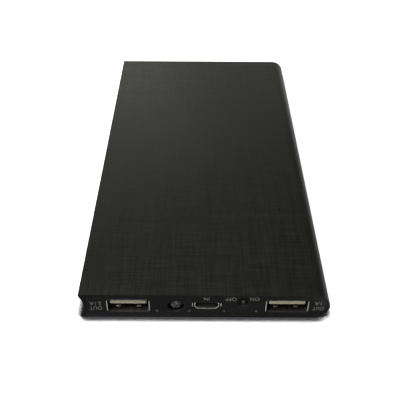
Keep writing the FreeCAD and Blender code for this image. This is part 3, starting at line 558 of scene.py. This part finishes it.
def bookLoop(bm, y, inset, steps=28):
    # lower skin, round spine, upper skin, then the hollow page side between two narrow lips
    low, high = caseBox["low"], caseBox["high"]
    middle, half = (low.z + high.z) / 2, (high.z - low.z) / 2
    spine = high.x - half
    lipHalf = half - sleeveValues["lip"]
    hollow = (lipHalf ** 2 + sleeveValues["groove"] ** 2) / (2 * sleeveValues["groove"])
    hollowX = low.x + sleeveValues["groove"] - hollow
    hollow += inset
    radius = half - inset
    start = bm.verts.new((spine, y, middle - radius))
    top = arcTo(bm, start, (spine, y, middle), -180, steps)
    lipX = low.x + inset
    lipReach = math.sqrt(hollow ** 2 - (lipX - hollowX) ** 2)
    if lipReach < radius:
        edge = lineTo(bm, lineTo(bm, top, x=lipX - spine), z=lipReach - radius)
        reach = lipReach
    else:
        edge = lineTo(bm, top, x=hollowX + math.sqrt(hollow ** 2 - radius ** 2) - spine)
        reach = radius
    opening = math.degrees(2 * math.asin(reach / hollow))
    last = arcTo(bm, edge, (hollowX, y, middle), opening, steps // 2)
    if lipReach < radius:
        last = lineTo(bm, last, z=lipReach - radius)
    bm.edges.new((last, start))


def makeSleeve():
    bm = bmesh.new()
    v = sleeveValues
    front, back = caseBox["low"].y, caseBox["high"].y
    bookLoop(bm, front, 0)
    pushFaces(bm, ringFrom(bm, fillOne(bm), v["wall"]), y=back - front)
    lips = sharpEdges(bm, lambda e: abs(e.verts[0].co.y - e.verts[1].co.y) > back, v["lipAngle"])
    bevelEdges(bm, lips, v["lipEdge"], v["edgeSteps"])
    ends = sharpEdges(bm, lambda e: allAt(e, 1, front) or allAt(e, 1, back))
    bevelEdges(bm, ends, v["endEdge"], v["edgeSteps"])
    finishPiece("caseSleeve", bm, anodised, stands=["case_sleeve"])


makeSleeve()
print("sleeve made")

socketValues = {"wide": 13.1 * mm, "tall": 5.72 * mm, "wall": 0.3 * mm, "corner": 0.6 * mm,
                "edge": 0.09 * mm, "edgeSteps": 3, "ears": (2.8 * mm, 11.0 * mm), "earLong": 2.5 * mm,
                "earOut": 1.2 * mm}
socketMiddle = leftShell["mid"].z
inletValues = {"wide": 7.5 * mm, "tall": 2.6 * mm, "wall": 0.25 * mm, "corner": 0.75 * mm,
               "flaredCorner": 1.0 * mm, "upperShare": 1 / 3, "edge": 0.05 * mm, "lipLong": 0.8 * mm,
               "lipOut": 0.72 * mm, "lipDrop": 0.25 * mm}
pipValues = {"inner": 10.7 * mm, "outer": 30.4 * mm, "radius": 0.45 * mm, "flange": 0.65 * mm,
             "dome": 0.12 * mm, "shoulder": 0.7, "shoulderDeep": 1 / 3, "around": 28}
pipMiddle = pipsBox["low"].z + pipValues["flange"]
pipPlaces = [pipsBox["mid"].x + side * pipValues[row] / 2 for row in ("outer", "inner") for side in (-1, 1)]

capValues = {"gap": 0.06 * mm, "recess": 0.1 * mm, "plate": 1.2 * mm, "edge": 0.08 * mm,
             "holeGap": 0.1 * mm, "torchHole": 2.55 * mm, "torchAround": 32, "pipHole": 0.46 * mm,
             "pipAround": 20, "windowWide": 2.8 * mm, "windowTall": 3.6 * mm, "windowCorner": 0.8 * mm,
             "windowRise": 0.8 * mm}
skirtValues = {"fit": 0.1 * mm, "wall": 0.7 * mm, "deep": 3.0 * mm, "snapBack": 0.5 * mm,
               "snapLong": 1.0 * mm, "snapWide": 6.0 * mm, "snapSpread": 24.0 * mm, "snapHigh": 0.25 * mm}
bossValues = {"wide": 4.0 * mm, "bore": 0.7 * mm, "floor": 0.8 * mm, "around": 28, "screwHead": 1.25 * mm}


def mouthPoints(left, right, bottom, top, cut):
    # the charging socket's outline: its lower corners are cut off widest
    small = cut * inletValues["upperShare"]
    return [(left + cut, bottom), (right - cut, bottom), (right, bottom + cut), (right, top - small),
            (right - small, top), (left + small, top), (left, top - small), (left, bottom + cut)]


def makeCapPlate(bm, y, deep):
    pushFaces(bm, fillLoops(bm), y=deep)
    bevelEdges(bm, sharpEdges(bm, lambda e: allAt(e, 1, y)), capValues["edge"])


def addSkirt(bm, y, way):
    v = skirtValues
    skirt = bmesh.new()
    bookLoop(skirt, y, sleeveValues["wall"] + v["fit"])
    pushFaces(skirt, ringFrom(skirt, fillOne(skirt), v["wall"]), y=way * v["deep"])
    joinInto(bm, skirt)
    # four snaps that click into the sleeve's grooves, two over and two under
    snapEnd = y + way * (v["deep"] - v["snapBack"])
    near, far = sorted((snapEnd, snapEnd - way * v["snapLong"]))
    inner = sleeveValues["wall"] + v["wall"]
    outer = sleeveValues["wall"] - v["snapHigh"]
    low, high = caseBox["low"].z, caseBox["high"].z
    for side in (-1, 1):
        middle = side * v["snapSpread"] / 2
        left, right = middle - v["snapWide"] / 2, middle + v["snapWide"] / 2
        addBlock(bm, (left, near, low + outer), (right, far, low + inner), capValues["edge"])
        addBlock(bm, (left, near, high - inner), (right, far, high - outer), capValues["edge"])


def addBosses(bm):
    # the two posts that take the board's screws, each on a foot that reaches forward to the plate
    v = bossValues
    plateBack = caseBox["low"].y + capValues["plate"]
    low = caseBox["low"].z + sleeveValues["wall"] + skirtValues["fit"]
    high = boardBox["low"].z
    half = v["wide"] / 2
    for side in (-1, 1):
        x = screwsBox["mid"].x + side * (screwsBox["size"].x / 2 - v["screwHead"])
        y = screwsBox["mid"].y
        addBlock(bm, (x - half, plateBack, low), (x + half, y, low + v["floor"]), capValues["edge"])
        post = bmesh.new()
        for radius in (half, v["bore"]):
            arcTo(post, post.verts.new((x + radius, y, low)), (x, y, low), 360, v["around"], (0, 0, 1))
        pushFaces(post, fillLoops(post, (0, 0, 1)), z=high - low)
        joinInto(bm, post)


def makeFrontCap():
    bm = bmesh.new()
    v = capValues
    front, gap = caseBox["low"].y, v["holeGap"]
    y = front + v["recess"]
    bookLoop(bm, y, sleeveValues["wall"] + v["gap"])
    wide, tall = socketValues["wide"] + 2 * gap, socketValues["tall"] + 2 * gap
    for box in (leftTongue, rightTongue):
        roundedLoop(bm, y, box["mid"].x, socketMiddle, wide, tall, socketValues["corner"])
    circleLoop(bm, y, torchBox["mid"].x, torchBox["mid"].z, v["torchHole"], v["torchAround"])
    for x in pipPlaces:
        circleLoop(bm, y, x, pipMiddle, v["pipHole"], v["pipAround"])
    roundedLoop(bm, y, knobBox["mid"].x, knobBox["mid"].z + v["windowRise"], v["windowWide"],
                v["windowTall"], v["windowCorner"])
    low, high = inletBox["low"], inletBox["high"]
    pointsLoop(bm, y, mouthPoints(low.x - gap, high.x + gap, low.z - gap, high.z + gap,
                                  inletValues["flaredCorner"] + gap))
    makeCapPlate(bm, y, v["plate"] - v["recess"])
    addSkirt(bm, front + v["plate"], 1)
    addBosses(bm)
    finishPiece("frontCap", bm, capPlastic, stands=["front_cap"])


def makeRearCap():
    bm = bmesh.new()
    v = capValues
    y = caseBox["high"].y - v["recess"]
    bookLoop(bm, y, sleeveValues["wall"] + v["gap"])
    makeCapPlate(bm, y, v["recess"] - v["plate"])
    addSkirt(bm, caseBox["high"].y - v["plate"], -1)
    finishPiece("rearCap", bm, capPlastic, stands=["rear_cap"])


makeFrontCap()
makeRearCap()
print("caps made")

fingerValues = {"spread": 6.3 * mm, "wide": 1.5 * mm, "long": 6.0 * mm, "front": 1.3 * mm,
                "rise": 0.7 * mm, "thick": 0.25 * mm, "clear": 0.25 * mm, "edge": 0.05 * mm,
                "tip": 0.3 * mm, "topNear": 0.9 * mm, "topFar": 1.5 * mm, "turn": 0.35 * mm}
levelFace = 0.9  # a face is level if its normal points up or down by more than this


def cutWindow(bm, low, high, top):
    # an opening through the shell's floor, round one spring finger
    for axis in (0, 1):
        for place in (low[axis], high[axis]):
            bm.normal_update()
            floor = [f for f in bm.faces if abs(f.normal.z) > levelFace and f.calc_center_median().z < top]
            around = list({v for f in floor for v in f.verts})
            around += list({e for f in floor for e in f.edges}) + floor
            way = [0, 0, 0]
            way[axis] = 1
            at = [0, 0, 0]
            at[axis] = place
            bmesh.ops.bisect_plane(bm, geom=around, plane_co=at, plane_no=way)
    bm.normal_update()
    gone = []
    for face in bm.faces:
        middle = face.calc_center_median()
        inside = all(low[axis] < middle[axis] < high[axis] for axis in (0, 1))
        if abs(face.normal.z) > levelFace and middle.z < top and inside:
            gone.append(face)
    bmesh.ops.delete(bm, geom=gone, context="FACES")
    bmesh.ops.bridge_loops(bm, edges=[e for e in bm.edges if e.is_boundary])


def addFinger(bm, x, front, floor):
    # a leaf that rises towards the mouth and turns down at its tip
    part = bmesh.new()
    v = fingerValues
    under = floor + v["rise"]
    over = under + v["thick"]
    outline = [(v["long"], floor), (v["long"], floor + v["thick"]), (v["topFar"], over),
               (v["topNear"], over), (v["tip"], over - v["turn"]), (v["tip"], under - v["turn"]),
               (v["topNear"], under), (v["topFar"], under)]
    left = x - v["wide"] / 2
    first = last = part.verts.new((left, front + outline[0][0], outline[0][1]))
    for y, z in outline[1:]:
        last = lineTo(part, last, y=front + y - last.co.y, z=z - last.co.z)
    part.edges.new((last, first))
    pushFaces(part, fillOne(part), x=v["wide"])
    bevelEdges(part, part.edges[:], v["edge"])
    joinInto(bm, part)


def makeShell(name, box, stands):
    bm = bmesh.new()
    v, finger = socketValues, fingerValues
    x, front, floor = box["mid"].x, box["low"].y, box["low"].z
    wide, tall, wall, edge = v["wide"], v["tall"], v["wall"], v["edge"]
    roundedLoop(bm, front, x, socketMiddle, wide, tall, v["corner"])
    roundedLoop(bm, front, x, socketMiddle, wide - 2 * wall, tall - 2 * wall, v["corner"] - wall)
    pushFaces(bm, fillLoops(bm), y=box["size"].y)
    fingerFront = front + finger["front"]
    half = finger["wide"] / 2 + finger["clear"]
    cutTop = floor + 1.5 * wall  # just above the floor's inner face
    for side in (-1, 1):
        middle = x + side * finger["spread"] / 2
        cutWindow(bm, (middle - half, fingerFront), (middle + half, fingerFront + finger["long"]), cutTop)
    bm.normal_update()
    bevelEdges(bm, sharpEdges(bm, lambda e: allAt(e, 1, front)), edge, v["edgeSteps"])
    boardTop = boardBox["high"].z
    for side in (-1, 1):
        addFinger(bm, x + side * finger["spread"] / 2, fingerFront, floor)
        near, far = sorted((x + side * (wide - wall) / 2, x + side * (wide / 2 + v["earOut"])))
        for start in v["ears"]:
            addBlock(bm, (near, front + start, boardTop),
                     (far, front + start + v["earLong"], boardTop + wall), edge)
    shell = finishPiece(name, bm, socketSteel, stands=[stands])
    # the two upright rims of the mouth take a paler steel: a painted highlight
    shell.data.materials.append(rimHighlightSteel)
    sideInner, sideOuter = wide / 2 - 1.2 * wall, wide / 2 + edge
    rimBack = front + 1.5 * edge
    for face in shell.data.polygons:
        upright = sideInner < abs(face.center.x - x) < sideOuter
        level = abs(face.center.z - socketMiddle) < tall / 2 - v["corner"]
        if upright and level and face.center.y < rimBack:
            face.material_index = 1


tongueValues = {"wide": 11.1 * mm, "thick": 1.9 * mm, "drop": 0.41 * mm, "back": 0.5 * mm,
                "edge": 0.34 * mm, "edgeSteps": 3, "ribs": 5, "ribPitch": 2.4 * mm, "ribWide": 1.0 * mm,
                "ribHigh": 0.1 * mm, "ribEdge": 0.05 * mm, "stop": 3.0 * mm, "stopGap": 0.01 * mm}


def makeTongue(name, shell, stands):
    bm = bmesh.new()
    v, wall = tongueValues, socketValues["wall"]
    x, front, back = shell["mid"].x, shell["low"].y + v["back"], shell["high"].y
    top = shell["high"].z - wall - v["drop"]
    bottom = top - v["thick"]
    side = v["wide"] / 2
    addBlock(bm, (x - side, front, bottom), (x + side, back, top), v["edge"], v["edgeSteps"])
    # moulded ribs between the contacts, under the tongue's nose
    for i in range(v["ribs"]):
        left = x + (i - (v["ribs"] - 1) / 2) * v["ribPitch"] - v["ribWide"] / 2
        addBlock(bm, (left, front + v["edge"], bottom - v["ribHigh"]),
                 (left + v["ribWide"], back, bottom + v["ribHigh"]), v["ribEdge"])
    # the block that closes the shell behind
    inside = wall + v["stopGap"]
    half = socketValues["wide"] / 2 - inside
    addBlock(bm, (x - half, back - v["stop"], shell["low"].z + inside),
             (x + half, back, shell["high"].z - inside), socketValues["corner"] - wall, v["edgeSteps"])
    finishPiece(name, bm, tonguePlastic, stands=[stands])


makeShell("leftSocketShell", leftShell, "left_socket_shell")
makeShell("rightSocketShell", rightShell, "right_socket_shell")
makeTongue("leftSocketTongue", leftShell, "left_socket_tongue")
makeTongue("rightSocketTongue", rightShell, "right_socket_tongue")
print("large sockets made")


def addLip(bm, low, high, lean):
    part = startBlock(low, high)
    mouth = [vert for vert in part.verts if vert.co.y < (low[1] + high[1]) / 2]
    bmesh.ops.translate(part, verts=mouth, vec=lean)
    bevelEdges(part, part.edges[:], inletValues["edge"])
    joinInto(bm, part)


def makeInletShell():
    bm = bmesh.new()
    v = inletValues
    front, back = inletBox["low"].y, inletBox["high"].y
    low, high = inletBox["high"].z - v["tall"], inletBox["high"].z
    x, half = inletTongue["mid"].x, v["wide"] / 2
    for inset in (0, v["wall"]):
        pointsLoop(bm, front, mouthPoints(x - half + inset, x + half - inset, low + inset, high - inset,
                                          v["corner"] - inset / 2))
    pushFaces(bm, fillLoops(bm), y=back - front)
    bm.normal_update()
    bevelEdges(bm, sharpEdges(bm, lambda e: allAt(e, 1, front)), v["edge"])
    # the mouth is flared: a leaning lip on each side and one below
    lipBack = front + v["lipLong"]
    lipTop = high - v["corner"] * v["upperShare"]
    for side in (-1, 1):
        near, far = sorted((x + side * (half - v["wall"]), x + side * half))
        addLip(bm, (near, front, low + v["corner"]), (far, lipBack, lipTop), (side * v["lipOut"], 0, 0))
    across = half - v["corner"]
    addLip(bm, (x - across, front, low), (x + across, lipBack, low + v["wall"]), (0, 0, -v["lipDrop"]))
    shell = finishPiece("inletShell", bm, socketSteel, stands=["inlet_shell"])
    # the ends of the lips take the paler steel: a painted highlight
    shell.data.materials.append(rimHighlightSteel)
    for face in shell.data.polygons:
        atMouth = face.center.y < front + 2 * v["edge"]
        atSide = abs(face.center.x - x) > across
        if atMouth and (atSide or face.center.z < low):
            face.material_index = 1


torchValues = {"radius": 2.4 * mm, "flange": 2.8 * mm, "flangeLong": 1.0 * mm, "edge": 0.12 * mm,
               "steps": 12, "around": 48, "sharp": 50}


def makeTorch():
    bm = bmesh.new()
    v = torchValues
    radius, flange, soft = v["radius"], v["flange"], v["edge"]
    tip, back = torchBox["low"].y, torchBox["high"].y
    places = []
    for i in range(v["steps"] + 1):
        turn = math.pi / 2 * i / v["steps"]
        places.append((radius * math.sin(turn), tip + radius * (1 - math.cos(turn))))
    rim = back - v["flangeLong"]
    places += [(radius, rim - soft), (radius + soft, rim), (flange - soft, rim), (flange, rim + soft),
               (flange, back - soft), (flange - soft, back), (0, back)]
    addTurned(bm, places, torchBox["mid"].x, torchBox["mid"].z, v["around"])
    finishPiece("torchLamp", bm, clearResin, sharp=v["sharp"], stands=["torch_lamp"])


def makePips():
    bm = bmesh.new()
    v = pipValues
    front, back = pipsBox["low"].y, pipsBox["high"].y
    collar = caseBox["low"].y + capValues["plate"]
    shoulder = (v["radius"] * v["shoulder"], front + v["dome"] * v["shoulderDeep"])
    places = [(0, front), shoulder, (v["radius"], front + v["dome"]), (v["radius"], collar),
              (v["flange"], collar), (v["flange"], back), (0, back)]
    for x in pipPlaces:
        addTurned(bm, places, x, pipMiddle, v["around"])
    finishPiece("indicatorPips", bm, milkyGuide, stands=["indicator_pips"])


knobValues = {"wide": 1.2 * mm, "corner": 0.3 * mm, "cornerSteps": 3, "shoeDeep": 1.2 * mm,
              "edge": 0.1 * mm, "ribWide": 0.14 * mm, "ribTall": 1.0 * mm, "ribPitch": 0.3 * mm,
              "ribIn": 0.02 * mm, "ribBack": 0.6 * mm, "ribEdge": 0.035 * mm}


def makeKnob():
    bm = bmesh.new()
    v = knobValues
    low, high = knobBox["low"], knobBox["high"]
    x, z, half = knobBox["mid"].x, knobBox["mid"].z, v["wide"] / 2
    shoe = high.y - v["shoeDeep"]
    addBlock(bm, (x - half, low.y, low.z), (x + half, shoe + v["edge"], high.z), v["corner"],
             v["cornerSteps"])
    # three grip ribs across the nub's face
    for i in (-1, 0, 1):
        left = x + i * v["ribPitch"] - v["ribWide"] / 2
        addBlock(bm, (left, low.y + v["ribIn"], z - v["ribTall"] / 2),
                 (left + v["ribWide"], low.y + v["ribBack"], z + v["ribTall"] / 2), v["ribEdge"])
    addBlock(bm, (low.x, shoe, low.z), (high.x, high.y, high.z), v["edge"])
    finishPiece("switchKnob", bm, knobPlastic, body="switch_slider", stands=["switch_knob"])


makeInletShell()
makeTorch()
makePips()
makeKnob()
print("small fittings made")

labelValues = {"thick": 0.02 * mm, "sunk": 0.001 * mm, "curveSteps": 6}
labels = [
    # words, centre across, centre height, width, height in millimetres
    ("OFF", 7.85, 8.4, 3.3, 1.5),
    ("ON", 15.0, 8.45, 2.7, 1.5),
    ("IN", 0.5, 8.45, 1.75, 1.4),
    ("2.1A", -33.15, 6.15, 3.6, 1.6),
    ("OUT", -33.2, 4.0, 3.9, 1.6),
    ("1A", 34.2, 6.5, 2.05, 1.6),
    ("OUT", 34.5, 4.2, 3.5, 1.6),
]


def textMesh(words):
    # a piece of flat type, one metre thick until it is scaled
    curve = bpy.data.curves.new("label", "FONT")
    curve.body = words
    curve.resolution_u = labelValues["curveSteps"]
    curve.extrude = 0.5
    holder = bpy.data.objects.new("label", curve)
    scene.collection.objects.link(holder)
    bpy.context.view_layer.update()
    mesh = bpy.data.meshes.new_from_object(holder.evaluated_get(bpy.context.evaluated_depsgraph_get()))
    bpy.data.objects.remove(holder)
    bpy.data.curves.remove(curve)
    bm = bmesh.new()
    bm.from_mesh(mesh)
    bpy.data.meshes.remove(mesh)
    return bm


def makeLabel(index, words, x, z, wide, tall):
    bm = textMesh(words)
    thick = labelValues["thick"]
    xs = [v.co.x for v in bm.verts]
    ys = [v.co.y for v in bm.verts]
    middle = Vector(((min(xs) + max(xs)) / 2, (min(ys) + max(ys)) / 2, 0))
    bmesh.ops.translate(bm, verts=bm.verts, vec=-middle)
    # turned half round, because the case lies on its other side
    size = (-wide * mm / (max(xs) - min(xs)), -tall * mm / (max(ys) - min(ys)), thick)
    bmesh.ops.scale(bm, verts=bm.verts, vec=size)
    upright = Quaternion((1, 0, 0), math.pi / 2).to_matrix()
    bmesh.ops.rotate(bm, verts=bm.verts, cent=(0, 0, 0), matrix=upright)
    y = caseBox["low"].y + capValues["recess"] - thick / 2 + labelValues["sunk"]
    bmesh.ops.translate(bm, verts=bm.verts, vec=(x * mm, y, z * mm))
    finishPiece(f"label{index}", bm, whiteInk)


for index, label in enumerate(labels):
    makeLabel(index, *label)
print("lettering made")

floorValues = {"size": 3.0, "drop": 0.02 * mm, "shader": {"Roughness": 0.8, "Specular IOR Level": 0.0},
               # the dim colour that other rays than the camera's feel is painted shade
               "seen": (0.93, 0.93, 0.93), "paintedShadeFelt": (0.10, 0.103, 0.11), "glow": 1.0,
               # shade and its reach, depth and samples paint a contact shadow round the case
               "shade": (0.012, 0.014, 0.019), "shadeReach": 3.2 * mm, "shadeDepth": 11, "shadeSamples": 4,
               # the values below paint a glow on the sheet past the spine
               "paintedGlowSide": 0.75, "paintedGlowFrom": 37 * mm, "paintedGlowTo": 45 * mm}


def makeSheetMaterial():
    v = floorValues
    material, tree, surface, place = startMaterial("paleSheet", v["shader"])
    seen = put(tree, "LightPath").outputs["Is Camera Ray"]
    # camera rays see the sheet glow white, with a painted contact shadow that darkens its glow and colour
    # close around the case
    near = put(tree, "AmbientOcclusion", {"Distance": v["shadeReach"]}, samples=v["shadeSamples"])
    outsidePaintedShadow = maths(tree, "POWER", near.outputs["AO"], v["shadeDepth"])
    shaded = tint(tree, outsidePaintedShadow, v["shade"], v["seen"])
    tree.links.new(shaded, surface["Emission Color"])
    # other rays than the camera's feel the sheet dim: painted shade that the case's faces mirror
    colour = put(tree, "Mix", {"A": (*v["paintedShadeFelt"], 1)}, data_type="RGBA")
    tree.links.new(seen, colour.inputs["Factor"])
    tree.links.new(shaded, colour.inputs["B"])
    tree.links.new(colour.outputs["Result"], surface["Base Color"])
    glow = maths(tree, "MULTIPLY", seen, v["glow"])
    # past the spine the sheet glows for other rays than the camera's: a painted pool of light that the
    # spine's under side mirrors as a painted reflection
    across = put(tree, "SeparateXYZ")
    tree.links.new(place, across.inputs[0])
    side = put(tree, "MapRange", {"From Min": v["paintedGlowFrom"], "From Max": v["paintedGlowTo"],
                                  "To Max": v["paintedGlowSide"]}, interpolation_type="SMOOTHSTEP")
    tree.links.new(across.outputs["X"], side.inputs["Value"])
    paintedGlow = maths(tree, "MULTIPLY", side.outputs[0], maths(tree, "SUBTRACT", 1.0, seen))
    tree.links.new(maths(tree, "ADD", glow, paintedGlow), surface["Emission Strength"])
    return material


def makeFloor():
    bm = bmesh.new()
    bmesh.ops.create_grid(bm, x_segments=1, y_segments=1, size=floorValues["size"])
    bmesh.ops.translate(bm, verts=bm.verts, vec=(0, 0, caseBox["low"].z - floorValues["drop"]))
    mesh = bpy.data.meshes.new("floor")
    bm.to_mesh(mesh)
    bm.free()
    mesh.materials.append(makeSheetMaterial())
    floor = bpy.data.objects.new("floor", mesh)
    scene.collection.objects.link(floor)


lights = {
    # name: place, size, power, colour
    "softboxAbove": ((-0.38, -0.42, 0.86), (0.38, 0.38), 9.5, (1.0, 0.99, 0.97)),
    "stripFront": ((-0.02, -1.0, 0.36), (0.17, 0.5), 2.6, (1.0, 0.99, 0.97)),
    "windowBack": ((-0.42, 0.75, 0.38), (0.8, 0.8), 0.85, (1.0, 0.99, 0.93)),
}


def makeLight(name, place, size, power, colour):
    data = bpy.data.lights.new(name, "AREA")
    data.shape = "RECTANGLE"
    data.size, data.size_y = size
    data.energy = power
    data.color = colour
    light = bpy.data.objects.new(name, data)
    light.location = place
    light.rotation_mode = "QUATERNION"
    light.rotation_quaternion = (-Vector(place)).to_track_quat("-Z", "Y")
    scene.collection.objects.link(light)


worldValues = {"seen": 1.0, "seenTone": (1, 1, 1), "tone": (1.0, 1.0, 0.9), "all": 0.03, "back": 0.42,
               "backWay": (0.0, 0.93, 0.36), "tight": 10}


def makeWorld():
    # a plain studio: white where it is looked at, otherwise a soft glow low at the back
    v = worldValues
    world = bpy.data.worlds.new("studio")
    world.use_nodes = True
    tree = world.node_tree
    tree.nodes.clear()
    way = put(tree, "VectorMath", operation="DOT_PRODUCT")
    tree.links.new(put(tree, "TexCoord").outputs["Generated"], way.inputs[0])
    way.inputs[1].default_value = Vector(v["backWay"]).normalized()
    facing = maths(tree, "MAXIMUM", way.outputs["Value"], 0.0)
    glow = maths(tree, "MULTIPLY", maths(tree, "POWER", facing, v["tight"]), v["back"])
    level = maths(tree, "ADD", glow, v["all"])
    seen = put(tree, "LightPath").outputs["Is Camera Ray"]
    shown = maths(tree, "MAXIMUM", maths(tree, "MULTIPLY", seen, v["seen"]), level)
    background = put(tree, "Background")
    tree.links.new(shown, background.inputs["Strength"])
    tree.links.new(tint(tree, seen, v["tone"], v["seenTone"]), background.inputs["Color"])
    output = put(tree, "OutputWorld")
    tree.links.new(background.outputs[0], output.inputs["Surface"])
    scene.world = world
    scene.view_settings.view_transform = "Standard"


cameraValues = {"place": (-0.0024, -0.1934, 0.1504), "lens": 55.15, "sensor": 36, "nearest": 10 * mm,
                "down": 40.5, "right": 0.3, "roll": 0.5}


def makeCamera():
    v = cameraValues
    data = bpy.data.cameras.new("camera")
    data.lens = v["lens"]
    data.sensor_width = v["sensor"]
    data.clip_start = v["nearest"]
    camera = bpy.data.objects.new("camera", data)
    camera.location = v["place"]
    down, right = math.radians(v["down"]), math.radians(v["right"])
    forward = Vector((math.sin(right) * math.cos(down), math.cos(right) * math.cos(down), -math.sin(down)))
    roll = Quaternion((0, 0, 1), math.radians(v["roll"]))
    camera.rotation_mode = "QUATERNION"
    camera.rotation_quaternion = forward.to_track_quat("-Z", "Y") @ roll
    scene.collection.objects.link(camera)
    scene.camera = camera


makeFloor()
for name, values in lights.items():
    makeLight(name, *values)
makeWorld()
makeCamera()
print("stage made")
